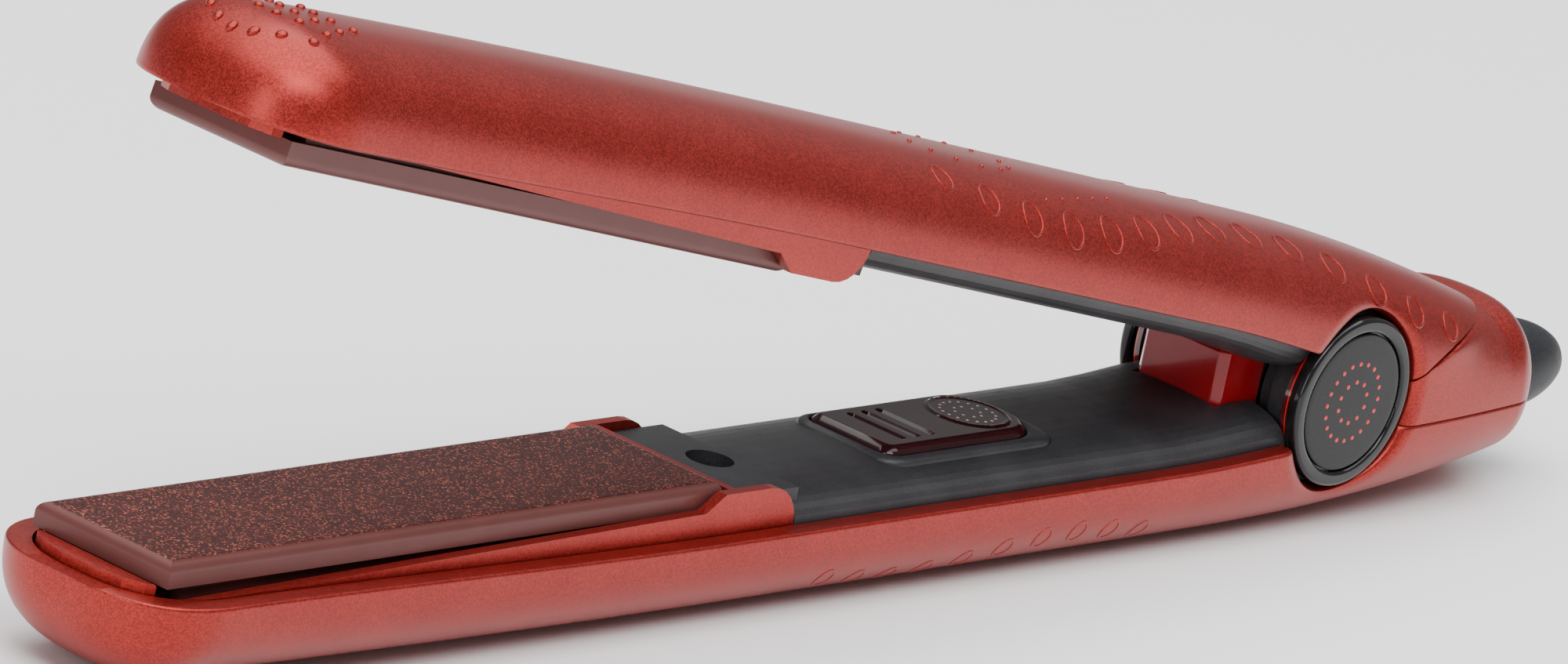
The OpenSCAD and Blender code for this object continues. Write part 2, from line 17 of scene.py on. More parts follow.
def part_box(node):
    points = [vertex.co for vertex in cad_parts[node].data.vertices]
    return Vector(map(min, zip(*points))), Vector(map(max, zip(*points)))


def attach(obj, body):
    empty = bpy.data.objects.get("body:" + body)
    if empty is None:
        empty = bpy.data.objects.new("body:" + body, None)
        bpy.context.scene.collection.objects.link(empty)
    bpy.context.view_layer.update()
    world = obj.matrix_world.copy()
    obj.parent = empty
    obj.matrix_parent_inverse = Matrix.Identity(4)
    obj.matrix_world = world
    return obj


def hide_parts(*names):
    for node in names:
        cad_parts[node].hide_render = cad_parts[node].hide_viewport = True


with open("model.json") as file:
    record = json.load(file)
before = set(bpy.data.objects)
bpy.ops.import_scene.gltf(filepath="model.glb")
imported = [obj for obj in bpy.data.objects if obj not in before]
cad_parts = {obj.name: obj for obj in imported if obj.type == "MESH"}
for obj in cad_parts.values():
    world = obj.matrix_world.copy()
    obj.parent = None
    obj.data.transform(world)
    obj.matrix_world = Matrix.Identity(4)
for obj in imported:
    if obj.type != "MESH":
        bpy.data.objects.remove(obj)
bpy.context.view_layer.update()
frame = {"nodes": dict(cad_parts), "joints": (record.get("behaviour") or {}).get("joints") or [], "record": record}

MM = 0.001                    # a millimetre in metres
MERGE = 0.002                 # points closer than this become one


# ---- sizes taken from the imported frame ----

def joint(name):
    """The joint of that name, as the frame gives it."""
    return next(j for j in frame["joints"] if j["name"] == name)


def box_mm(node):
    """Lowest and highest corner of a CAD node, in millimetres."""
    low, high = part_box(node)
    return np.array(low) / MM, np.array(high) / MM


HINGE_X, _, MEET_Z = (v / MM for v in joint("arm_hinge")["pos_m"])
OPEN = math.radians(joint("arm_hinge")["range_deg"][1])
NOSE_X = box_mm("lower_shell")[0][0]
REAR_X = box_mm("lower_shell")[1][0]
HALF = box_mm("lower_shell")[1][1]
BUTTON_X0, BUTTON_X1 = (corner[0] for corner in box_mm("power_button"))
BUTTON_HW = box_mm("power_button")[1][1]
BLOCK_X = box_mm("hinge_block")[0][0]
BLOCK_HW = box_mm("hinge_block")[1][1]
BLOCK_TOP = box_mm("hinge_block")[1][2] - MEET_Z
DISC_R = box_mm("disc_cap_near")[1][0] - HINGE_X
DISC_OUT = box_mm("disc_cap_far")[1][1]
DOME_R = box_mm("cord_swivel")[1][1]
MOUTH_X = box_mm("cord_swivel")[1][0]
SWIVEL_Z = joint("cord_swivel_turn")["pos_m"][2] / MM - MEET_Z

WALL = 2.4                    # thickness of the painted shells
NOSE_TAPER = 12               # length over which an arm's width closes at the nose
NOSE_FALL = 9                 # length over which its depth closes
NOSE_WALL = 14                # length over which the inner wall comes forward to close the nose
NEAR_HINGE = 16               # stretch each side of the hinge axis with closer stations
RIM_NOSE = 4.2                # depth of the shells' rim at the nose
RIM_DROP, RIM_RISE = 1.5, 1.7     # how much deeper it gets along the handle, and loses at the rear
KEEL_X, KEEL_RUN = -17, 116   # where the back line starts to rise towards the nose, and how far it runs
KEEL_RISE = 1.9               # how far it has risen at the end of that run
KEEL_FALL = 0.00152           # bend of the back line behind its tail point
SIDE_FALL = 0.0017            # bend of the sides behind the hinge
CUT_R = DISC_R + 0.6          # radius of the shells' round cut-outs
RIM_FILLET = 0.45             # radius of the shells' outer rim edge
SCOOP_R = 2.2                 # radius of the roll into the round cut-outs
TONGUE_X0, TONGUE_LEN = 9.2, 42   # stretch behind the hinge axis over which the tongue's edge runs
TONGUE_UP, TONGUE_SOFT = 7.6, 8.3     # height that it levels out at, and the length of its bend
SEAM = 4.0                    # depth of the joint between the lower shell and the rear cover
SEAM_GAP = 0.06               # clearance in that joint
COVER_WALL = 1.9              # thickness of the rear cover
COVER_LEVEL = 11.1            # height of the rear cover's level stretch over the seam
COVER_STEEP = 32.8            # distance behind the hinge axis where that stretch begins
COVER_LIP = 1.5               # length over which its edge rolls over under the tongue
MOUTH_R = 6.75                # radius of the housing's end round the swivel
TO_MOUTH = 9.0                # length over which the housing draws in to it
BORE_R = 3                    # radius of the bore through the housing's end wall
REAR_END = REAR_X - 0.15
END_WALL_X = REAR_X - 6       # inner face of the housing's end wall
RECESS_X = REAR_X - 3.2       # floor of the swivel's recess
LOWER_TAIL, UPPER_TAIL = 60, 65   # where the back line of each arm starts to fall off at the rear
ROUND = 2.6                   # exponent of the superellipse that rounds every section


def on_lower(p):
    """Points of the arm's own frame put on the lower arm: raised to the meeting plane."""
    return p + np.array([0, 0, MEET_Z])


def on_upper(p):
    """Points of the arm's own frame put on the upper arm: mirrored in the meeting plane, then turned
    about the hinge axis by the opening angle."""
    x, up = p[..., 0] - HINGE_X, -p[..., 2]
    c, s = math.cos(OPEN), math.sin(OPEN)
    return np.stack([HINGE_X + x * c + up * s, p[..., 1], MEET_Z - x * s + up * c], -1)


# ---- meshes ----

def quads(rows, cols, loop_cols):
    """Faces between neighbouring points of a grid numbered row by row, each row closed if asked."""
    i, j = np.arange(rows - 1), np.arange(cols if loop_cols else cols - 1)
    i, j = (g.ravel() for g in np.meshgrid(i, j, indexing="ij"))
    down, right = i + 1, (j + 1) % cols
    return np.stack([i * cols + j, i * cols + right, down * cols + right, down * cols + j], 1)


def grid(points, loop_cols=False):
    """A part of a piece: a grid of points, rows x columns x 3, with its faces."""
    rows, cols = points.shape[:2]
    return points.reshape(-1, 3), quads(rows, cols, loop_cols)


def ring_grid(loops):
    """A part whose rows of points are closed loops."""
    return grid(np.asarray(loops), loop_cols=True)


def raised(flat, z, middle=(0, 0)):
    """Points in a plane moved by middle and put at height z."""
    return np.column_stack([flat + np.array(middle), np.full(len(flat), z)])


def circle(steps):
    """Angles round a full turn, the last one just short of the first."""
    return np.linspace(0, 2 * np.pi, steps, endpoint=False)


def piece(name, parts, place, body, finish, replaces=(), sharp=32):
    """One object from a list of parts, in place on its body, with seams and poles merged, faces
    outward, and edges sharper than the given angle kept sharp."""
    points = place(np.concatenate([p for p, _ in parts])) * MM
    starts = np.cumsum([0] + [len(p) for p, _ in parts[:-1]])
    faces = np.concatenate([f + s for (_, f), s in zip(parts, starts)])
    mesh = bpy.data.meshes.new(name)
    mesh.from_pydata(points.tolist(), [], faces.tolist())
    work = bmesh.new()
    work.from_mesh(mesh)
    bmesh.ops.remove_doubles(work, verts=work.verts, dist=MERGE * MM)
    bmesh.ops.recalc_face_normals(work, faces=work.faces)
    work.to_mesh(mesh)
    work.free()
    mesh.polygons.foreach_set("use_smooth", np.ones(len(mesh.polygons), bool))
    mesh.set_sharp_from_angle(angle=math.radians(sharp))
    mesh.materials.append(finish)
    made = bpy.data.objects.new(name, mesh)
    bpy.context.scene.collection.objects.link(made)
    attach(made, body)
    if replaces:
        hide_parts(*replaces)
    return made


def arc(centre_a, centre_b, radius, start, end, steps):
    """Points of a circular arc in a plane, angles in degrees."""
    t = np.radians(np.linspace(start, end, steps + 1))
    return np.stack([centre_a + radius * np.cos(t), centre_b + radius * np.sin(t)], 1)


def revolve_y(profile, steps=160):
    """A profile of (radius, y) turned about the hinge axis."""
    t = circle(steps)
    r, y = profile[:, :1], profile[:, 1:] + 0 * t
    return ring_grid(np.stack([HINGE_X + r * np.cos(t), y, r * np.sin(t)], -1))


def revolve_x(profile, steps=128):
    """A profile of (radius, x) turned about the swivel's axis."""
    t = circle(steps)
    r, x = profile[:, :1], profile[:, 1:] + 0 * t
    return ring_grid(np.stack([x, r * np.cos(t), SWIVEL_Z + r * np.sin(t)], -1))


def outline(hx, hy, front, rear, inset, steps, side):
    """A rounded rectangle moved inward by inset: straight sides joined by quarter circles, of radius
    front at the nose end and rear at the hinge end. It ends as the line along its middle."""
    ax, ay = hx - inset, max(hy - inset, 0)
    corners = []
    for sx, sy, r, start in ((1, 1, rear, 0), (-1, 1, front, 90), (-1, -1, front, 180),
                             (1, -1, rear, 270)):
        r = min(max(r - inset, 0), ay)
        corners.append(arc(sx * (ax - r), sy * (ay - r), r, start, start + 90, steps))
    run = []
    for here, after in zip(corners, corners[1:] + corners[:1]):
        t = np.linspace(0, 1, side, endpoint=False)[1:, None]
        run += [here, here[-1] * (1 - t) + after[0] * t]
    return np.concatenate(run)


# ---- outline of an arm ----

COL = (slice(None), None)     # turns a row of values into a column


def smooth(a, b, x):
    """Smooth step from 0 at a to 1 at b."""
    s = np.clip((x - a) / (b - a), 0, 1)
    return s * s * (3 - 2 * s)


def closing(s, power):
    """Round closing of an end: 1 away from it, 0 at the tip, where s is 1."""
    return np.maximum(0, 1 - np.maximum(0, s) ** 2) ** power


def rim_at(x):
    """Depth of the shell's rim: shallow at the nose, deeper along the handle, shallow at the rear."""
    return RIM_NOSE + RIM_DROP * smooth(NOSE_X, -30, x) - RIM_RISE * smooth(45, HINGE_X + 14, x)


def keel_at(x, tail=LOWER_TAIL):
    """Depth of the arm's back line: level along the handle, falling off by parabolas at both ends."""
    return (MEET_Z - KEEL_RISE * (np.maximum(0, KEEL_X - x) / KEEL_RUN) ** 2
            - KEEL_FALL * np.maximum(0, x - tail) ** 2)


def half_at(x):
    """Half width of the arm, narrowing a little by a parabola behind the hinge."""
    return HALF - SIDE_FALL * np.maximum(0, x - HINGE_X) ** 2


def nose_width(x, inset=0.0):
    """Half width of the arm moved inward by inset, closed round at the nose."""
    return (half_at(x) - inset) * closing((NOSE_X + inset + NOSE_TAPER - x) / NOSE_TAPER, 0.34)


def nose_belly(x, inset=0.0, tail=LOWER_TAIL):
    """Depth of the arm from its rim to its back line less inset, closed round at the nose."""
    depth = keel_at(x, tail) - rim_at(x) - inset
    return depth * closing((NOSE_X + inset + NOSE_FALL - x) / NOSE_FALL, 0.4)


def section(width, belly, a, power=ROUND):
    """Point of a superellipse at angle a: across and down, of the given half width and depth."""
    reach = np.sign(np.cos(a)) * np.abs(np.cos(a)) ** (2 / power)
    bow = np.abs(np.sin(a)) ** (2 / power)
    return width * reach, belly * bow


def cut_depth(x):
    """Depth of the round cut-out at x: a circle about the hinge axis, 0 outside it."""
    return np.sqrt(np.maximum(0, CUT_R ** 2 - (x - HINGE_X) ** 2))


def tongue_rise(along):
    """Height of the tongue's lower edge over the meeting plane, behind the hinge axis by along: it
    leaves the end cap and levels out by an exponential curve."""
    return TONGUE_UP * (1 - np.exp(-(along - TONGUE_X0) / TONGUE_SOFT))


def tongue_line():
    """The tongue's lower edge in the upper arm's own frame, turned back by the opening angle. Gives x
    and depth."""
    along = np.linspace(TONGUE_X0, TONGUE_LEN, 240)
    up = tongue_rise(along)
    c, s = math.cos(OPEN), math.sin(OPEN)
    return HINGE_X + along * c - up * s, along * s + up * c


TONGUE_X, TONGUE_DEPTH = tongue_line()
TIP_X = TONGUE_X[np.argmax(TONGUE_DEPTH >= keel_at(TONGUE_X, UPPER_TAIL) - 0.02)]


def lower_edge(x):
    """Depth of the lower shell's edge: its rim, or the round cut-out where that is deeper."""
    return np.maximum(rim_at(x), cut_depth(x))


def upper_edge(x):
    """Depth of the upper shell's edge: as the lower one's, or the tongue's lower edge if deeper."""
    tongue = np.interp(x, TONGUE_X, TONGUE_DEPTH, left=0)
    return np.maximum(lower_edge(x), tongue)


def scoop(p):
    """Points near the round cut-out drawn in by a quarter circle, so the side rolls into it."""
    away = np.hypot(p[..., 0] - HINGE_X, p[..., 2]) - CUT_R
    s = np.clip(1 - away / SCOOP_R, 0, 1)
    roll = SCOOP_R * 0.55 * (1 - np.sqrt(1 - s ** 2 * 0.999))
    q = p.copy()
    q[..., 1] -= np.sign(p[..., 1]) * roll * smooth(6, 12, np.abs(p[..., 1]))
    return q


def arm_stations():
    """Places along the arm up to the end of the cut-out, close together at the nose and where the
    cut-out meets the rim."""
    meet = math.asin(SEAM / CUT_R)
    turn = np.linspace(np.pi - meet, meet, 44)
    reach = CUT_R * math.cos(meet)
    return np.concatenate([
        NOSE_X + NOSE_TAPER * np.linspace(0, 1, 26) ** 3,
        np.linspace(NOSE_X + NOSE_TAPER, HINGE_X - NEAR_HINGE, 70)[1:],
        np.linspace(HINGE_X - NEAR_HINGE, HINGE_X - reach, 18)[1:-1],
        HINGE_X + CUT_R * np.cos(turn),
        np.linspace(HINGE_X + reach, HINGE_X + NEAR_HINGE, 16)[1:]])


def nose_shift(x):
    """How far the inner wall lies behind the outer one: the wall at the nose's tip, then nothing."""
    return WALL * (1 - smooth(NOSE_X, NOSE_X + NOSE_WALL, x))


def ends_close(n):
    """n + 1 values from 0 to 1, five times closer together at both ends."""
    v = np.linspace(0, 1, n + 1)
    return v - 0.8 * np.sin(2 * np.pi * v) / (2 * np.pi)


def shell_grid(x, width, belly, power, edge, fillet, inner_x, inner_width, inner_belly):
    """Closed wall of a shell. At each station one loop runs over the outer superellipse from rim to
    rim, round the rim's edge by a quarter circle, across the rim, and back along the inner
    superellipse."""
    rim = rim_at(x)
    start = np.arcsin(np.clip((edge + fillet - rim) / np.maximum(belly, 1e-6), 0, 1) ** (power / 2))
    a = start[COL] + (np.pi - 2 * start[COL]) * ends_close(104)
    y, z = section(width[COL], belly[COL], a, power[COL])
    outer = np.stack([x[COL] + 0 * y, y, -rim[COL] - z], -1)
    turn = np.radians([18, 36, 54, 72, 90])
    drop, lift = fillet[COL] * (1 - np.cos(turn)), fillet[COL] * np.sin(turn)
    near = outer[:, :1] + np.stack([0 * drop, -drop, lift], -1)[:, ::-1]
    far = outer[:, -1:] + np.stack([0 * drop, drop, lift], -1)
    inner_rim = rim_at(inner_x)
    inner_start = np.arcsin(np.clip((edge - inner_rim) / np.maximum(inner_belly, 1e-6), 0, 1)
                            ** (ROUND / 2))
    b = np.pi - inner_start[COL] - (np.pi - 2 * inner_start[COL]) * np.linspace(0, 1, 41)
    y, z = section(inner_width[COL], inner_belly[COL], b)
    inner = np.stack([inner_x[COL] + 0 * y, y, -inner_rim[COL] - z], -1)
    return np.concatenate([scoop(near), scoop(outer), scoop(far), inner], 1)


def to_mouth(x, full, mouth):
    """Value that falls from full to mouth over the last stretch before the mouth, level at both."""
    return mouth + (full - mouth) * closing((x - REAR_END + TO_MOUTH) / TO_MOUTH, 1.2)


def exponents(x, mouth_from):
    """Exponent of each section: that of the arm, falling to 2 at the mouth, where it is round."""
    power = ROUND - (ROUND - 2) * smooth(REAR_END - TO_MOUTH, REAR_END, x)
    power[mouth_from:] = 2
    return power


def mouth_rows():
    """Places and radii that carry a wall over the mouth's rolled edge, down the side of the recess,
    in along its floor, and through the bore."""
    x = REAR_END + np.array([0.12, 0.12, 0, -0.3])
    x = np.concatenate([x, [RECESS_X + 0.3, RECESS_X, RECESS_X, END_WALL_X]])
    return x, np.array([6.62, 6.42, 6.3, 6.22, 6.22, 6.1, BORE_R, BORE_R])


def lower_shell():
    """The lower arm's shell. Behind the hinge its section turns into the round mouth of the swivel's
    recess, goes in along the recess and the bore, and comes back as the inner wall."""
    front = arm_stations()
    run = np.concatenate([front, np.linspace(front[-1], REAR_END - TO_MOUTH, 20)[1:-1],
                          np.linspace(REAR_END - TO_MOUTH, REAR_END, 26)])
    rows_x, rows_r = mouth_rows()
    x = np.concatenate([run, rows_x])
    width = np.concatenate([to_mouth(run, nose_width(run), MOUTH_R), rows_r])
    belly = np.concatenate([to_mouth(run, nose_belly(run), MOUTH_R - SWIVEL_Z - SEAM),
                            rows_r - SWIVEL_Z - SEAM])
    power = exponents(x, len(run))
    edge = lower_edge(x)
    fillet = np.minimum(RIM_FILLET, 0.35 * np.minimum(width, belly)) * smooth(REAR_END, REAR_END - 3, x)
    fillet[len(run):] = 0
    t = np.linspace(0, 1, len(x) - len(front))[1:]
    inner_x = front + nose_shift(front)
    back_x = front[-1] + (END_WALL_X - front[-1]) * (1 - (1 - np.append(0, t)) ** 2)[1:]
    inner_x = np.concatenate([inner_x, back_x, [END_WALL_X]])
    s = closing((inner_x - END_WALL_X + 12) / 12, 0.4)
    bore_belly = BORE_R - SWIVEL_Z - SEAM
    inner_width = BORE_R + (nose_width(inner_x, WALL) - BORE_R) * s
    inner_belly = bore_belly + (nose_belly(inner_x, WALL) - bore_belly) * s
    inner_width[:len(front)] = nose_width(inner_x[:len(front)], WALL)
    inner_belly[:len(front)] = nose_belly(inner_x[:len(front)], WALL)
    return [ring_grid(shell_grid(x, width, belly, power, edge, fillet, inner_x, inner_width,
                                 inner_belly))]


def upper_stations():
    """Places along the upper arm, closer together by a power law towards the tongue's tip."""
    front = arm_stations()
    length = TIP_X - front[-1]
    return np.concatenate([front, (TIP_X - length * (1 - np.linspace(0, 1, 60)) ** 2.4)[1:]])


def upper_shell():
    """The upper arm's shell. Behind the hinge its rim climbs along the tongue's lower edge until it
    meets the back line at the tongue's tip."""
    x = upper_stations()
    keel = keel_at(x, UPPER_TAIL)
    belly = nose_belly(x, 0, UPPER_TAIL)
    edge = np.minimum(upper_edge(x), keel - 0.001)
    room = keel - edge
    inset = np.minimum(WALL, 0.6 * room)
    fillet = np.minimum(np.minimum(RIM_FILLET, 0.35 * np.minimum(nose_width(x), belly)), 0.3 * room)
    power = np.full(len(x), ROUND)
    shift = nose_shift(x)
    inner_x = x + shift
    inner_width = np.where(shift > 0, nose_width(inner_x, WALL), half_at(x) - inset)
    inner_belly = np.where(shift > 0, nose_belly(inner_x, WALL, UPPER_TAIL), keel - rim_at(x) - inset)
    return [ring_grid(shell_grid(x, nose_width(x), belly, power, edge, fillet, inner_x, inner_width,
                                 inner_belly))]


def soft_min(a, b, k):
    """The smaller of two heights, rounded off over k where they meet."""
    h = np.clip(0.5 + 0.5 * (b - a) / k, 0, 1)
    return b * (1 - h) + a * h - k * h * (1 - h)


def cover_height(x):
    """Height of the rear cover's section: steep sided under the tongue by a fourth power, then level."""
    t = np.maximum(0, HINGE_X + COVER_STEEP - x)
    return COVER_LEVEL + 0.42 * t + 0.0002 * t ** 4


def rear_cover():
    """Cover behind the hinge. Each section is a superellipse standing on the seam, cut level under
    the tongue with a rolled edge; at the rear it turns into the upper half of the round mouth."""
    start = HINGE_X + CUT_R
    run = np.concatenate([start + 4 * np.linspace(0, 1, 14) ** 1.6,
                          np.linspace(start + 4, REAR_END - TO_MOUTH, 44)[1:-1],
                          np.linspace(REAR_END - TO_MOUTH, REAR_END, 26)])
    rows_x, rows_r = mouth_rows()
    high = SWIVEL_Z + SEAM    # height of the swivel's axis over the seam
    x = np.concatenate([run, rows_x])
    width = np.concatenate([to_mouth(run, half_at(run), MOUTH_R), rows_r])
    height = np.concatenate([to_mouth(run, cover_height(run), MOUTH_R + high), rows_r + high])
    power = exponents(x, len(run))
    a = np.pi * ends_close(120)
    y, up = section(width[COL], height[COL], a[None], power[COL])
    level = tongue_rise(x - HINGE_X) - 0.25
    z = np.maximum(soft_min(up - SEAM, level[COL] + 0 * up, COVER_LIP), -SEAM + SEAM_GAP)
    roll = CUT_R - np.sqrt(CUT_R ** 2 - np.minimum(np.abs(z), 6) ** 2)
    back = roll * (1 - smooth(start, start + 4, x[COL]))
    outer = scoop(np.stack([x[COL] - back, y, z], -1))
    inner_x = np.minimum(x, END_WALL_X)
    s = closing((inner_x - END_WALL_X + 10) / 10, 0.4)
    ceiling = np.minimum(cover_height(inner_x) - COVER_WALL, level + SEAM - COVER_WALL + 0.1)
    inner_w = BORE_R + (half_at(inner_x) - COVER_WALL - BORE_R) * s
    inner_h = BORE_R + high + (ceiling - BORE_R - high) * s
    inner_w[len(run) + 6:], inner_h[len(run) + 6:] = BORE_R, BORE_R + high
    inner_power = ROUND - (ROUND - 2) * smooth(END_WALL_X - 9, END_WALL_X, inner_x)
    y, up = section(inner_w[COL], inner_h[COL], a[None, ::-1], inner_power[COL])
    inner = np.stack([inner_x[COL] - back.min(1)[COL] + 0 * y, y, np.maximum(up, SEAM_GAP) - SEAM], -1)
    loops = np.concatenate([outer, inner], 1)
    mouth_end = np.stack([outer[0], inner[0, ::-1]])
    return [ring_grid(loops), grid(mouth_end)]


# ---- lights, camera and floor ----

def look(eye, target):
    """Turn of an object at eye that faces target, with Z up."""
    return (Vector(target) - Vector(eye)).to_track_quat("-Z", "Y")


def softbox(name, eye, target, size, power):
    """White rectangular area light at eye, facing target."""
    light = bpy.data.lights.new(name, "AREA")
    light.shape = "RECTANGLE"
    light.size, light.size_y = size
    light.energy = power
    made = bpy.data.objects.new(name, light)
    made.location = eye
    made.rotation_mode = "QUATERNION"
    made.rotation_quaternion = look(eye, target)
    bpy.context.scene.collection.objects.link(made)


def studio():
    """A long lens in front of the nose and to its near side, a pale floor, and large soft lights. The
    camera's three axes are given as unit vectors."""
    scene = bpy.context.scene
    right = Vector((0.64823, -0.7348, 0.19967))
    down = Vector((-0.08771, -0.33253, -0.939))
    back = -Vector((0.75638, 0.59117, -0.28))
    turn = Matrix([[right[i], -down[i], back[i]] for i in range(3)])
    cam = bpy.data.objects.new("camera", bpy.data.cameras.new("camera"))
    cam.location = (-1.24747, -0.96234, 0.48560)
    cam.rotation_mode = "QUATERNION"
    cam.rotation_quaternion = turn.to_quaternion()
    cam.data.lens = 324
    cam.data.sensor_width = 36
    cam.data.clip_start, cam.data.clip_end = 0.05, 100
    scene.collection.objects.link(cam)
    scene.camera = cam

    floor = bpy.data.meshes.new("floor")
    side = 30.0
    corners = [(-side, -side, 0), (side, -side, 0), (side, side, 0), (-side, side, 0)]
    floor.from_pydata(corners, [], [(0, 1, 2, 3)])
    floor.materials.append(floor_finish())
    ground = bpy.data.objects.new("floor", floor)
    scene.collection.objects.link(ground)

    world = bpy.data.worlds.new("studio")
    world.use_nodes = True
    sky = world.node_tree.nodes["Background"]
    sky.inputs["Color"].default_value = (1, 1, 1, 1)
    sky.inputs["Strength"].default_value = 0.3
    scene.world = world
    softbox("ceiling", (0, 0.1, 2.0), (0, 0.1, 0), (3.4, 3.0), 120)
    softbox("key", (-0.45, -0.75, 0.95), (0, 0, 0.03), (1.0, 0.4), 9)
    softbox("front", (-1.5, -0.3, 0.5), (-0.1, 0, 0.02), (0.5, 0.8), 7)


# ---- finishes ----

class Wire:
    """A shader socket that can be written in sums, as in 1 - mask * 0.5; each sum adds its Math node."""

    def __init__(self, finish, socket):
        self.finish, self.socket = finish, socket

    def sum(self, operation, a, b):
        """A Math node on two values or sockets."""
        return self.finish.node("ShaderNodeMath", {"operation": operation}, {0: a, 1: b})

    def __add__(self, other):
        return self.sum("ADD", self, other)

    __radd__ = __add__

    def __sub__(self, other):
        return self.sum("SUBTRACT", self, other)

    def __rsub__(self, other):
        return self.sum("SUBTRACT", other, self)

    def __mul__(self, other):
        return self.sum("MULTIPLY", self, other)

    __rmul__ = __mul__

    def __abs__(self):
        return self.finish.node("ShaderNodeMath", {"operation": "ABSOLUTE"}, {0: self})


class Finish:
    """One material: a Principled shader, its constants, and the nodes that vary it."""

    def __init__(self, name, **constants):
        self.material = bpy.data.materials.new(name)
        self.material.use_nodes = True
        self.tree = self.material.node_tree
        self.shader = self.tree.nodes["Principled BSDF"]
        for socket, value in constants.items():
            self.shader.inputs[socket.replace("_", " ")].default_value = value

    def node(self, kind, settings=None, sockets=None, output=0):
        """A node of that type: its settings are set first, then its sockets' values or links."""
        made = self.tree.nodes.new(kind)
        for name, value in (settings or {}).items():
            setattr(made, name, value)
        for name, value in (sockets or {}).items():
            if isinstance(value, Wire):
                self.tree.links.new(value.socket, made.inputs[name])
            else:
                made.inputs[name].default_value = value
        return Wire(self, made.outputs[output])

    def place(self, scale=(1, 1, 1)):
        """Object coordinates in millimetres, stretched by scale."""
        where = self.node("ShaderNodeTexCoord", output="Object")
        return self.node("ShaderNodeMapping", {"vector_type": "POINT"},
                         {"Vector": where, "Scale": [s / MM for s in scale]})

    def noise(self, size, detail, scale=(1, 1, 1)):
        """Cloudy noise whose features are about size millimetres across, with levels of finer ones."""
        return self.node("ShaderNodeTexNoise", {}, {"Vector": self.place(scale), "Scale": 1 / size,
                                                    "Detail": detail})

    def flakes(self, size, output):
        """Random cells about size millimetres across; output is Distance or Color."""
        return self.node("ShaderNodeTexVoronoi", {"feature": "F1"},
                         {"Vector": self.place(), "Scale": 1 / size}, output)

    def step(self, value, low, high, to_low=0.0, to_high=1.0):
        """Smooth step of value between low and high."""
        return self.node("ShaderNodeMapRange", {"interpolation_type": "SMOOTHSTEP"},
                         {"Value": value, "From Min": low, "From Max": high, "To Min": to_low,
                          "To Max": to_high})

    def mix(self, mask, a, b):
        """Colour a where mask is 0 and b where it is 1."""
        return self.node("ShaderNodeMix", {"data_type": "RGBA"}, {0: mask, 6: a, 7: b}, 2)

    def bump(self, height, distance, strength):
        """Normal for a height that is 1 at distance millimetres."""
        return self.node("ShaderNodeBump", {}, {"Height": height, "Distance": distance * MM,
                                                "Strength": strength}, "Normal")

    def feed(self, **sockets):
        """Links what varies over the surface to the shader, and gives the finished material."""
        for name, value in sockets.items():
            self.tree.links.new(value.socket, self.shader.inputs[name.replace("_", " ")])
        return self.material


def rgb(r, g, b):
    """Opaque colour."""
    return (r, g, b, 1)


def paint(name, colour, deep):
    """Satin metallic paint: fine flakes vary the colour and roughness, with a faint orange peel."""
    f = Finish(name, Metallic=0.72, Coat_Roughness=0.32)
    flake = f.flakes(0.17, "Color")
    fine = f.node("ShaderNodeSeparateColor", {}, {"Color": flake}, 0)
    cloud = f.noise(7, 2)
    mask = f.step(fine * 0.7 + cloud * 0.3, 0.15, 0.95)
    peel = f.noise(0.55, 1)
    return f.feed(Base_Color=f.mix(mask, deep, colour), Roughness=0.3 + fine * 0.12 + cloud * 0.05,
                  Coat_Weight=0.1 + cloud * 0.1, Normal=f.bump(fine * 0.3 + peel, 0.005, 0.6))


def moulded(name, dark, light, rough, grain, depth, coat=0.0, **constants):
    """Moulded plastic, rubber or board: fine grain in the surface, soft mottling in the colour, and
    handling marks that lift or lower the roughness."""
    f = Finish(name, **constants)
    cloud = f.noise(9, 3)
    grit = f.noise(grain, 2)
    wear = f.step(f.noise(2.6, 3), 0.52, 0.7)
    return f.feed(Base_Color=f.mix(f.step(cloud * 0.5 + grit * 0.5, 0.3, 0.7), dark, light),
                  Roughness=rough + (grit - 0.5) * 0.14 + wear * 0.05, Coat_Weight=coat + wear * 0.02,
                  Normal=f.bump(grit, depth, 0.7))


def metal(name, dark, light, rough, grain=0.5, stretch=(0.15, 1, 1)):
    """Bare metal: drawn or turned marks along one direction, and faint tarnish."""
    f = Finish(name, Metallic=1.0)
    marks = f.noise(grain, 3, stretch)
    tarnish = f.noise(4, 3)
    return f.feed(Base_Color=f.mix(f.step(tarnish * 0.6 + marks * 0.4, 0.3, 0.75), light, dark),
                  Roughness=rough + marks * 0.12 + tarnish * 0.08, Normal=f.bump(marks, 0.006, 0.5))


def gloss(name, dark, light, rough=0.07, coat=0.12):
    """Polished plastic: a little clear coat, a slight depth in the colour, and faint wiping marks."""
    f = Finish(name, Coat_Roughness=0.03, Specular_IOR_Level=0.26)
    cloud = f.noise(6, 2)
    wipe = f.noise(1.2, 4, (0.25, 1, 1))
    return f.feed(Base_Color=f.mix(cloud, dark, light), Roughness=rough + wipe * 0.06,
                  Coat_Weight=coat + cloud * 0.08, Normal=f.bump(f.noise(3, 1), 0.004, 0.4))


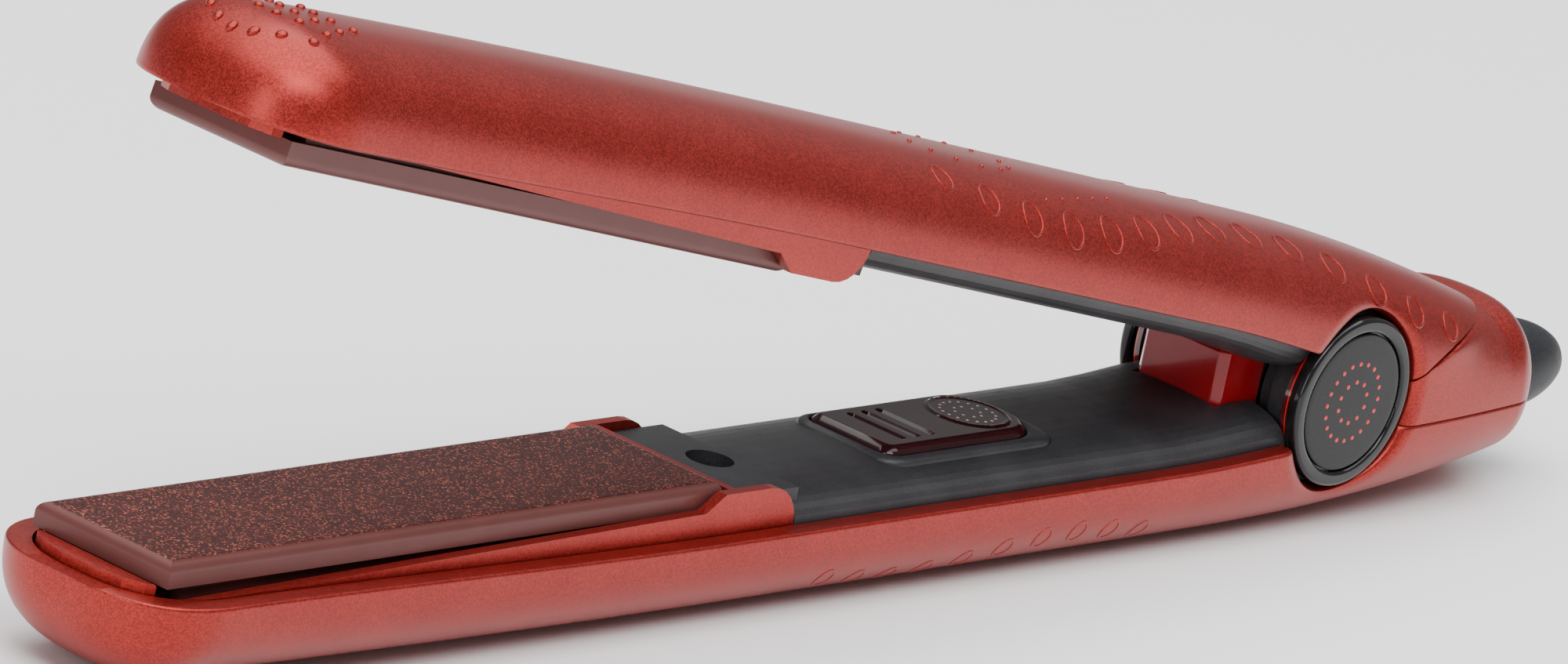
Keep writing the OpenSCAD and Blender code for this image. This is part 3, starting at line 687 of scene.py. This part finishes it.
def glow_ring():
    """Dark red see-through looking ring, with a thin bright line just inside its outer face; that line is painted
    glow, light caught in the translucent ring's edge put into its colour.
    """
    f = Finish("light_ring", Coat_Roughness=0.05)
    where = f.node("ShaderNodeSeparateXYZ", {}, {"Vector": f.place()}, "Y")
    out = abs(where)
    low, high = 11.86, 12.06  # edges of the bright line of painted glow, from the centre line
    line = f.step(out, low, low + 0.04) * f.step(out, high - 0.04, high, 1, 0)
    cloud = f.noise(3, 2)
    body = f.mix(cloud, rgb(0.045, 0.003, 0.005), rgb(0.09, 0.004, 0.008))
    # the bright red band mixed over the body is painted glow, not a colour of the ring
    return f.feed(Base_Color=f.mix(line, body, rgb(0.75, 0.02, 0.015)), Roughness=0.12 + cloud * 0.05,
                  Coat_Weight=0.6 + cloud * 0.2, Normal=f.bump(cloud, 0.004, 0.4))


def glitter(name, facing):
    """Plate coating: dark maroon with bright specks of two sizes on the flat face, whose direction is given, and a
    smooth paler pinkish brown on the rounded edges."""
    f = Finish(name, Coat_Roughness=0.2, Specular_IOR_Level=0.3)
    normal = f.node("ShaderNodeVectorTransform",
                    {"vector_type": "NORMAL", "convert_from": "WORLD", "convert_to": "OBJECT"},
                    {"Vector": f.node("ShaderNodeNewGeometry", output="True Normal")}, "Vector")
    level = f.node("ShaderNodeVectorMath", {"operation": "DOT_PRODUCT"}, {0: normal, 1: facing}, "Value")
    flat = f.step(level, 0.93, 0.985)
    small = f.node("ShaderNodeSeparateColor", {}, {"Color": f.flakes(0.2, "Color")}, 0)
    large = f.node("ShaderNodeSeparateColor", {}, {"Color": f.flakes(0.4, "Color")}, 1)
    core = f.step(f.flakes(0.4, "Distance"), 0.12, 0.42, 1, 0)
    spark = f.step(small, 0.82, 0.97) * 0.55 + f.step(large, 0.86, 0.95) * core
    cloud = f.noise(5, 3)
    ground = f.mix(f.step(cloud * 0.5 + small * 0.5, 0.3, 0.7), rgb(0.036, 0.004, 0.004),
                   rgb(0.075, 0.01, 0.009))
    sparkled = f.mix(spark, ground, rgb(0.7, 0.2, 0.12))
    rim = f.mix(cloud, rgb(0.1, 0.03, 0.027), rgb(0.13, 0.042, 0.038))
    return f.feed(Base_Color=f.mix(flat, rim, sparkled), Metallic=0.25 + spark * flat * 0.5,
                  Roughness=0.42 + (small - 0.5) * flat * 0.3, Coat_Weight=0.04 + cloud * 0.04,
                  Normal=f.bump(small * flat + cloud * 0.1, 0.012, 0.7))


def board():
    """Green circuit board: fine fibre weave, and paler straight tracks under the lacquer."""
    f = Finish("board_green", Coat_Roughness=0.15)
    weave = f.node("ShaderNodeTexWave", {"bands_direction": "X"}, {"Vector": f.place(), "Scale": 0.8}, 1)
    track = f.step(f.node("ShaderNodeTexWave", {"bands_direction": "Y"},
                          {"Vector": f.place(), "Scale": 0.16, "Distortion": 0.0}, 1), 0.6, 0.66)
    cloud = f.noise(4, 2)
    return f.feed(Base_Color=f.mix(track * 0.7, rgb(0.012, 0.13, 0.05), rgb(0.05, 0.26, 0.11)),
                  Roughness=0.35 + cloud * 0.12, Coat_Weight=0.4 + cloud * 0.1,
                  Normal=f.bump(weave * 0.4 + track, 0.02, 0.5))


def floor_finish():
    """Matt pale paper with very faint mottling."""
    f = Finish("pale_floor", Roughness=0.9, Specular_IOR_Level=0.1)
    cloud = f.noise(60, 3)
    return f.feed(Base_Color=f.mix(cloud, rgb(0.88, 0.88, 0.88), rgb(0.9, 0.9, 0.9)))


FACE_UP = (0, 0, 1)
FACE_DOWN = (-math.sin(OPEN), 0, -math.cos(OPEN))
FINISHES = {
    "shell_paint": paint("shell_paint", rgb(0.38, 0.026, 0.018), rgb(0.22, 0.012, 0.009)),
    "frame_paint": paint("frame_paint", rgb(0.42, 0.032, 0.023), rgb(0.26, 0.016, 0.012)),
    "cover_plastic": moulded("cover_plastic", rgb(0.018, 0.018, 0.02), rgb(0.036, 0.036, 0.04), 0.42,
                             0.22, 0.035, Specular_IOR_Level=0.36),
    "gloss_black": gloss("gloss_black", rgb(0.006, 0.006, 0.007), rgb(0.012, 0.011, 0.012)),
    "light_ring": glow_ring(),
    "gloss_red": gloss("gloss_red", rgb(0.2, 0.004, 0.008), rgb(0.3, 0.008, 0.012), 0.1),
    "swivel_rubber": moulded("swivel_rubber", rgb(0.012, 0.013, 0.015), rgb(0.022, 0.023, 0.026), 0.48,
                             0.4, 0.02, Specular_IOR_Level=0.22),
    "plate_coating": glitter("plate_coating", FACE_UP),
    "heater_ceramic": moulded("heater_ceramic", rgb(0.7, 0.68, 0.62), rgb(0.8, 0.79, 0.75), 0.55,
                              0.3, 0.03),
    "clip_steel": metal("clip_steel", rgb(0.42, 0.42, 0.43), rgb(0.62, 0.62, 0.63), 0.24),
    "axle_steel": metal("axle_steel", rgb(0.5, 0.5, 0.51), rgb(0.68, 0.68, 0.69), 0.16, 0.3,
                        (1, 0.15, 1)),
    "screw_steel": metal("screw_steel", rgb(0.4, 0.4, 0.41), rgb(0.6, 0.6, 0.61), 0.28, 0.3,
                         (1, 1, 0.3)),
    "black_screw": metal("black_screw", rgb(0.02, 0.02, 0.022), rgb(0.05, 0.05, 0.055), 0.38, 0.3,
                         (1, 1, 0.3)),
    "bush_bronze": metal("bush_bronze", rgb(0.38, 0.2, 0.09), rgb(0.55, 0.32, 0.15), 0.3, 0.3,
                         (1, 0.2, 1)),
    "slip_brass": metal("slip_brass", rgb(0.6, 0.42, 0.14), rgb(0.78, 0.58, 0.24), 0.18, 0.3,
                        (1, 0.2, 0.2)),
    "mica_sheet": moulded("mica_sheet", rgb(0.42, 0.33, 0.2), rgb(0.62, 0.53, 0.36), 0.35,
                          0.7, 0.02, 0.2),
    "board_green": board(),
    "part_black": moulded("part_black", rgb(0.012, 0.012, 0.012), rgb(0.03, 0.03, 0.03), 0.5,
                          0.25, 0.02),
    "capacitor_sleeve": moulded("capacitor_sleeve", rgb(0.01, 0.015, 0.07), rgb(0.02, 0.03, 0.12), 0.28,
                                0.5, 0.01, 0.3),
    "lamp_red": gloss("lamp_red", rgb(0.35, 0.01, 0.01), rgb(0.5, 0.02, 0.015)),
    "wire_silicone": moulded("wire_silicone", rgb(0.14, 0.008, 0.008), rgb(0.2, 0.014, 0.012), 0.45,
                             0.3, 0.01),
    "sensor_glass": gloss("sensor_glass", rgb(0.5, 0.16, 0.03), rgb(0.62, 0.24, 0.05)),
    "fuse_metal": metal("fuse_metal", rgb(0.55, 0.5, 0.38), rgb(0.7, 0.66, 0.52), 0.25)}
# Black gloss of the button; its dark red tint is a painted reflection of the red upper arm above it
BUTTON_GLOSS_PAINTED_REFLECTION = gloss("button_gloss_painted_reflection", rgb(0.012, 0.003, 0.004), rgb(0.035, 0.004, 0.006))
CAP_FACE = moulded("cap_face", rgb(0.006, 0.006, 0.007), rgb(0.011, 0.011, 0.012), 0.26, 0.3, 0.004,
                   Specular_IOR_Level=0.22)
UPPER_COATING = glitter("plate_coating_upper", FACE_DOWN)
DOT_PINK = moulded("dot_pink", rgb(0.62, 0.4, 0.4), rgb(0.75, 0.55, 0.55), 0.35, 0.2, 0.01)
DOT_RED = moulded("dot_red", rgb(0.55, 0.012, 0.012), rgb(0.7, 0.02, 0.02), 0.35, 0.2, 0.01)

for part in frame["record"]["subparts"]:
    material = FINISHES[part["material_slot"]]
    if part["node"] == "upper_plate":
        material = UPPER_COATING
    node = frame["nodes"][part["node"]]
    node.data.materials.clear()
    node.data.materials.append(material)


# ---- hinge ends and swivel ----

FACE_R = DISC_R - 2.0         # radius of the disc set in an end cap
FACE_EDGE = 0.25              # radius of its edge
FACE_Y = DISC_OUT - FACE_EDGE     # where its face begins
FACE_DOME = 0.07              # how far the face rises to its middle
CAP_IN = 12.3                 # where an end cap begins, next to its light ring
STUB_R = 2.6                  # radius of an end cap's hole for the axle


def on_side(points, side):
    """Points of (radius, y) with y put on the given side of the centre line."""
    return np.array(points, float) * np.array([1, side])


def cap_profile():
    """Ring of an end cap: a stub on the axle, a rounded outer edge, a raised rolled rim and a recessed
    floor, ending where it began."""
    out = DISC_OUT
    return np.concatenate([
        [(STUB_R, CAP_IN), (DISC_R - 0.3, CAP_IN), (DISC_R, CAP_IN + 0.3)],
        arc(DISC_R - 0.6, out - 0.6, 0.6, 0, 90, 8),
        arc(DISC_R - 1.35, out - 0.45, 0.45, 90, 180, 6),
        [(DISC_R - 1.85, out - 0.8), (STUB_R, out - 0.8), (STUB_R, CAP_IN)]])


def face_profile():
    """Inset disc of an end cap: rounded edge and a face that is a very low dome."""
    back, flat_r = DISC_OUT - 0.78, FACE_R - FACE_EDGE
    t = np.linspace(1, 0, 12)
    return np.concatenate([[(0, back), (FACE_R, back)],
                           arc(flat_r, FACE_Y - FACE_EDGE, FACE_EDGE, 0, 90, 5),
                           np.stack([flat_r * t, FACE_Y + FACE_DOME * (1 - t ** 2)], 1)])


RING_HOLE, RING_IN, RING_OUT = 5, 11.1, 12.25     # inner radius of a light ring, and its two faces
RING_PROFILE = [(RING_HOLE, RING_IN), (DISC_R - 0.75, RING_IN), (DISC_R - 0.5, 11.3),
                (DISC_R - 0.5, 12.1), (DISC_R - 0.65, RING_OUT), (RING_HOLE, RING_OUT),
                (RING_HOLE, RING_IN)]

for side, where in ((-1, "near"), (1, "far")):
    for name, profile, finish, slot, sharp in (
            ("disc_cap", cap_profile(), FINISHES["gloss_black"], "gloss_black", 50),
            ("disc_face", face_profile(), CAP_FACE, "gloss_black", 50),
            ("light_ring", RING_PROFILE, FINISHES["light_ring"], "light_ring", 30)):
        piece(f"{name}_{where}_skin", [revolve_y(on_side(profile, side))], on_lower, "lower_arm",
              finish, [f"{name}_{where}"], sharp)


CORD_R, CORD_DEEP = 2.8, 7    # radius and depth of the cord's hole


def swivel_profile():
    """Swivel turned about its axis, as (radius, x): shaft with the clip's groove, the dome as part of an
    ellipse, the rounded lip of the cord's hole, and the hole."""
    base = RECESS_X + 0.2     # underside of the dome, clear of the recess's floor
    centre, half = REAR_X - 0.25, 14.0    # middle of the ellipse, and its half length
    lip_x = MOUTH_X - 0.35
    t = np.linspace(math.acos((base + 0.4 - centre) / half), math.acos((lip_x - centre) / half), 40)
    dome = np.stack([DOME_R * np.sin(t), centre + half * np.cos(t)], 1)
    inner = END_WALL_X
    return np.concatenate([
        [(0, inner - 14), (1.8, inner - 14), (2, inner - 13.8), (2, inner - 3), (2.9, inner - 3),
         (2.9, inner - 1.2), (2.5, inner - 1.2), (2.5, inner - 0.2), (2.9, inner - 0.2), (2.9, base),
         (dome[0, 0] - 0.4, base)],
        dome, [(dome[-1, 0] - 0.12, MOUTH_X - 0.1), (dome[-1, 0] - 0.32, MOUTH_X),
               (CORD_R + 0.2, MOUTH_X), (CORD_R + 0.04, MOUTH_X - 0.12), (CORD_R, MOUTH_X - 0.4),
               (CORD_R, MOUTH_X - CORD_DEEP), (0, MOUTH_X - CORD_DEEP)]])


piece("cord_swivel_skin", [revolve_x(swivel_profile())], on_lower, "swivel", FINISHES["swivel_rubber"],
      ["cord_swivel"], 40)


# ---- power button ----

BUTTON_TOP = box_mm("power_button")[1][2] - MEET_Z
BUTTON_MID = (BUTTON_X0 + BUTTON_X1) / 2
BUTTON_HALF = (BUTTON_X1 - BUTTON_X0) / 2
BUTTON_LOW = -4.6             # underside of the button
BUTTON_FRONT_R, BUTTON_REAR_R = 1.8, 6.0  # corner radii of the button
CHAMFER = 1.0                 # width of the slope round the button's top
GROOVES = (5.0, 7.6, 10.2)    # places of the finger grooves, from the button's front end
GROOVE_DEPTH = 0.5
DOTS_X = 7.4                  # centre of the disc on the button, from the button's middle
DISC_RISE, DISC_DISH = 0.22, 0.12     # height of that disc's rim, and how far its face lies under it
COLLAR_REAR_R = 2.3           # outer rear corner radius of the collar round the button


def button_width(x, inset):
    """Half width at x of the button's outline moved inward by inset: straight sides closed by quarter
    circles, small at the nose end and large at the hinge end."""
    drops = 0
    for corner, from_end in ((BUTTON_FRONT_R, BUTTON_HALF - inset + x),
                             (BUTTON_REAR_R, BUTTON_HALF - inset - x)):
        r = corner - inset
        into = np.maximum(0, r - from_end)
        drops = drops + r - np.sqrt(np.maximum(0, r ** 2 - into ** 2))
    return BUTTON_HW - inset - drops


def button_plan(inset):
    """Grid over the button's outline moved inward by inset: x runs from end to end, closer together at
    the ends, and y is a share of the half width there."""
    x = (BUTTON_HALF - inset) * (2 * ends_close(180) - 1)
    y = button_width(x, inset)[:, None] * np.linspace(-1, 1, 49)
    return np.stack([x[:, None] + 0 * y, y], -1)


def button_parts():
    """The button's wall and chamfer, its top, and its underside. The top's height has three finger
    grooves and a raised round disc with a rim, as smooth steps."""
    rings = [(0, BUTTON_LOW), (0, BUTTON_TOP - CHAMFER), (0.12, BUTTON_TOP - CHAMFER + 0.25),
             (CHAMFER - 0.2, BUTTON_TOP - 0.1), (CHAMFER, BUTTON_TOP)]
    loops = []
    for inset, z in rings:
        plan = button_plan(inset)
        rim = np.concatenate([plan[0, :-1], plan[:-1, -1], plan[-1, :0:-1], plan[:0:-1, 0]])
        loops.append(raised(rim, z, (BUTTON_MID, 0)))
    plan = button_plan(CHAMFER)
    x, y = plan[..., 0], plan[..., 1]
    z = np.full(x.shape, BUTTON_TOP)
    for place in GROOVES:
        across = np.abs(x - (place - BUTTON_HALF))
        z -= GROOVE_DEPTH * (1 - smooth(0.2, 0.6, across)) * (1 - smooth(4.0, 4.5, np.abs(y)))
    away = np.hypot(x - DOTS_X, y)
    z += DISC_RISE * (1 - smooth(4.95, 5.25, away)) - DISC_DISH * (1 - smooth(4.5, 4.8, away))
    shift = np.array([BUTTON_MID, 0, 0])
    return [ring_grid(loops), grid(np.dstack([plan, z]) + shift),
            grid(np.dstack([button_plan(0), np.full(x.shape, BUTTON_LOW)]) + shift)]


def surround():
    """Raised collar of the button: a profile of (inset, z) carried round the button's outline, rolling
    up from the cover, over, and down beside the button. Its rear corners are tighter on the outside."""
    profile = [(-1.6, -4.5), (-1.6, -2.35), (-1.45, -2.05), (-1.2, -1.85), (-0.9, -1.7), (-0.6, -1.62),
               (-0.4, -1.64), (-0.27, -1.75), (-0.2, -1.95), (-0.2, -5.4), (-1.0, -5.4), (-1.6, -4.5)]
    loops = []
    for inset, z in profile:
        rear = COLLAR_REAR_R + (BUTTON_REAR_R - COLLAR_REAR_R) * smooth(-1.5, -0.3, inset)
        flat = outline(BUTTON_HALF, BUTTON_HW, BUTTON_FRONT_R, rear, inset, 12, 6)
        loops.append(raised(flat, z, (BUTTON_MID, 0)))
    return ring_grid(loops)


def stem():
    """Round stem under the button: a profile of (radius, z) turned about the button's middle."""
    profile = np.array([(0, -7.05), (1.9, -7.05), (2.0, -6.95), (2.0, -4.7), (0, -4.7)])
    t = circle(40)
    r, z = profile[:, :1], profile[:, 1:] + 0 * t
    return ring_grid(np.stack([BUTTON_MID + r * np.cos(t), r * np.sin(t), z], -1))


piece("power_button_skin", button_parts() + [stem()], on_lower, "button", BUTTON_GLOSS_PAINTED_REFLECTION,
      ["power_button"], 28)
piece("button_surround_skin", [surround()], on_lower, "lower_arm",
      FINISHES["cover_plastic"], ["button_surround"], 40)


# ---- hinge block ----

def block():
    """Guard in front of the hinge: a rounded rectangle carried up, with flat chamfers on its upright
    edges and round its top."""
    x0, x1 = BLOCK_X, HINGE_X - 8
    low, cut, corner = -8.5, 0.9, 1.0
    rings = [(BLOCK_HW, low), (0, low), (0, BLOCK_TOP - cut), (cut, BLOCK_TOP), (BLOCK_HW, BLOCK_TOP)]
    return ring_grid([raised(outline((x1 - x0) / 2, BLOCK_HW, corner, corner, inset, 1, 6), z,
                             ((x0 + x1) / 2, 0)) for inset, z in rings])


guard = piece("hinge_block_skin", [block()], on_lower, "lower_arm",
              FINISHES["gloss_red"], ["hinge_block"], 20)
soften = guard.modifiers.new("soft edges", "BEVEL")
soften.width = 0.15 * MM
soften.segments = 2
soften.limit_method = "ANGLE"
soften.angle_limit = math.radians(20)


# ---- raised details of the shells ----

def skin_point(x, a, tail):
    """Point of a shell's outer superellipse at x and angle a."""
    y, z = section(nose_width(x), nose_belly(x, 0, tail), a)
    return np.stack([x, y, -rim_at(x) - z], -1)


def on_skin(x, a, lift, tail):
    """Points of a shell's outer surface at x and angle a round its section, raised by lift along the
    normal, which is the cross product of the surface's two directions."""
    step = 1e-4
    p = skin_point(x, a, tail)
    n = np.cross(skin_point(x, a + step, tail) - p, skin_point(x + step, a, tail) - p)
    n *= np.sign((n * p).sum(-1, keepdims=True) - n[..., :1] * p[..., :1])
    return p + n / np.linalg.norm(n, axis=-1, keepdims=True) * lift[..., None]


def raised_spot(x0, degrees, profile, tail, stretch=1.0, steps=24):
    """A profile of (radius, lift) turned about a point of the shell, lying along its curve. Distances
    round the section are measured along it: the angle is read back from the summed chord length."""
    angles = np.linspace(0, np.pi, 721)
    curve = skin_point(np.full(angles.shape, float(x0)), angles, tail)
    length = np.concatenate([[0], np.cumsum(np.linalg.norm(np.diff(curve, axis=0), axis=1))])
    middle = np.interp(math.radians(degrees), angles, length)
    t = circle(steps)
    r, lift = profile[:, :1], profile[:, 1:] + 0 * t
    turned = np.interp(middle + stretch * r * np.sin(t), length, angles)
    return ring_grid(on_skin(x0 + r * np.cos(t), turned, lift, tail))


STUD_LOW, HOOP_LOW = -0.15, -0.1      # how far a stud and a thin ring reach into the shell


def stud(radius, height):
    """Profile of a round stud: quarter of an ellipse down to just under the surface, closed below."""
    t = np.linspace(0, np.pi / 2, 6)
    dome = np.stack([radius * np.sin(t), height * np.cos(t)], 1)
    return np.concatenate([dome, [(radius, STUD_LOW), (0, STUD_LOW)]])


def hoop(radius, width, height):
    """Profile of a thin raised ring: a low arch closed just under the surface."""
    t = np.linspace(0, np.pi, 7)
    arch = np.stack([radius - width * np.cos(t), height * np.sin(t)], 1)
    return np.concatenate([arch, [(radius + width, HOOP_LOW), (radius - width, HOOP_LOW)], arch[:1]])


def ring_angle(x):
    """Height of the row of rings round the shell, in degrees: a cosine wave along the arm."""
    return 131 + 15 * math.cos(2 * math.pi * (x - 11) / 82)


STUD_STEP = 2.7               # distance between the studs on the nose, along a row
ROW_STEP = 4.7                # distance between their rows
ROW_BOW = 0.065               # bend of a row
HOOP_STRETCH = 1.25           # height of a thin ring over its length


def angle_at(x, y):
    """Angle round the section, in degrees, of the point that lies y from the centre line."""
    share = y / nose_width(x)
    return math.degrees(math.acos(math.copysign(abs(share) ** (ROUND / 2), share)))


def upper_details():
    """Studs on the nose in rows bowed like the nose itself, a round of small studs and a short line
    of them further back, and a wavy row of thin rings along each side."""
    studs, hoops = [], []
    for row, count in enumerate((7, 6, 5, 4)):
        for k in range(count):
            y = STUD_STEP * (k - (count - 1) / 2)
            x = NOSE_X + 2.6 + ROW_STEP * row + ROW_BOW * y * y
            studs.append(raised_spot(x, angle_at(x, y), stud(0.6, 0.45), UPPER_TAIL, steps=16))
    for k in range(12):
        turn = 2 * math.pi * k / 12
        studs.append(raised_spot(1 + 9 * math.cos(turn), 92 + 14 * math.sin(turn), stud(0.32, 0.22),
                                 UPPER_TAIL, steps=12))
    for k in range(5):
        studs.append(raised_spot(9 + 4 * k, 127 - 4 * k, stud(0.3, 0.2), UPPER_TAIL, steps=12))
    for k in range(14):
        x = -12 + 8.1 * k
        size = 1.5 + 0.5 * math.sin(math.pi * k / 13)
        for angle in (ring_angle(x), 180 - ring_angle(x)):
            hoops.append(raised_spot(x, angle, hoop(size, 0.16, 0.13), UPPER_TAIL, HOOP_STRETCH, 40))
    return studs + hoops


def lower_details():
    """Faint rings along both sides of the lower shell, on a shorter wave."""
    hoops = []
    for k in range(10):
        x = -16 + 6.4 * k
        for turn in (1, -1):
            angle = 90 + turn * (56 - 9 * math.sin(2 * math.pi * k / 9))
            hoops.append(raised_spot(x, angle, hoop(1.3, 0.15, 0.09), LOWER_TAIL, HOOP_STRETCH, 32))
    return hoops


SHELL_PAINT = FINISHES["shell_paint"]
piece("lower_shell_skin", lower_shell() + lower_details(), on_lower, "lower_arm", SHELL_PAINT,
      ["lower_shell"])
piece("rear_cover_skin", rear_cover(), on_lower, "lower_arm", SHELL_PAINT, ["rear_cover"])
piece("upper_shell_skin", upper_shell() + upper_details(), on_upper, "upper_arm", SHELL_PAINT,
      ["upper_shell"])


# ---- dotted motifs ----

DOT_LOW = -0.08               # how far a dot reaches into its face


def dots(places, radius, height, out):
    """Low domes of the given radius at places on a flat or round face; out(u, v, lift) gives a point of
    the face raised by lift. Each is a quarter ellipse turned about its middle."""
    shape = stud(radius, height)
    t = circle(12)
    r, lift = shape[:, :1], np.maximum(shape[:, 1:], DOT_LOW) + 0 * t
    return [ring_grid(out(u + r * np.cos(t), v + r * np.sin(t), lift)) for u, v in places]


def rosette(rings):
    """Places on concentric circles, each given as (radius, number) and half a step further round."""
    places = []
    for i, (r, n) in enumerate(rings):
        t = circle(n) + np.pi * i / n
        places += list(zip(r * np.cos(t), r * np.sin(t)))
    return places


def on_face(side):
    """Points of an end cap's domed face, u and v from its middle, on that side of the object."""
    def out(u, v, lift):
        r = np.hypot(u, v) / (FACE_R - FACE_EDGE)
        return np.stack([HINGE_X + u, side * (FACE_Y + FACE_DOME * (1 - r ** 2) + lift), v], -1)
    return out


def on_button(u, v, lift):
    """Points of the flat face of the button's disc, u and v from its middle."""
    return np.stack([BUTTON_MID + DOTS_X + u, v, BUTTON_TOP + DISC_RISE - DISC_DISH + lift], -1)


for side, where in ((-1, "near"), (1, "far")):
    piece(f"cap_dots_{where}", dots(rosette([(4.9, 20), (2.6, 10)]), 0.3, 0.06, on_face(side)), on_lower,
          "lower_arm", DOT_RED)
piece("button_dots", dots(rosette([(3.4, 18), (1.7, 8)]), 0.2, 0.06, on_button), on_lower, "button",
      DOT_PINK)

studio()
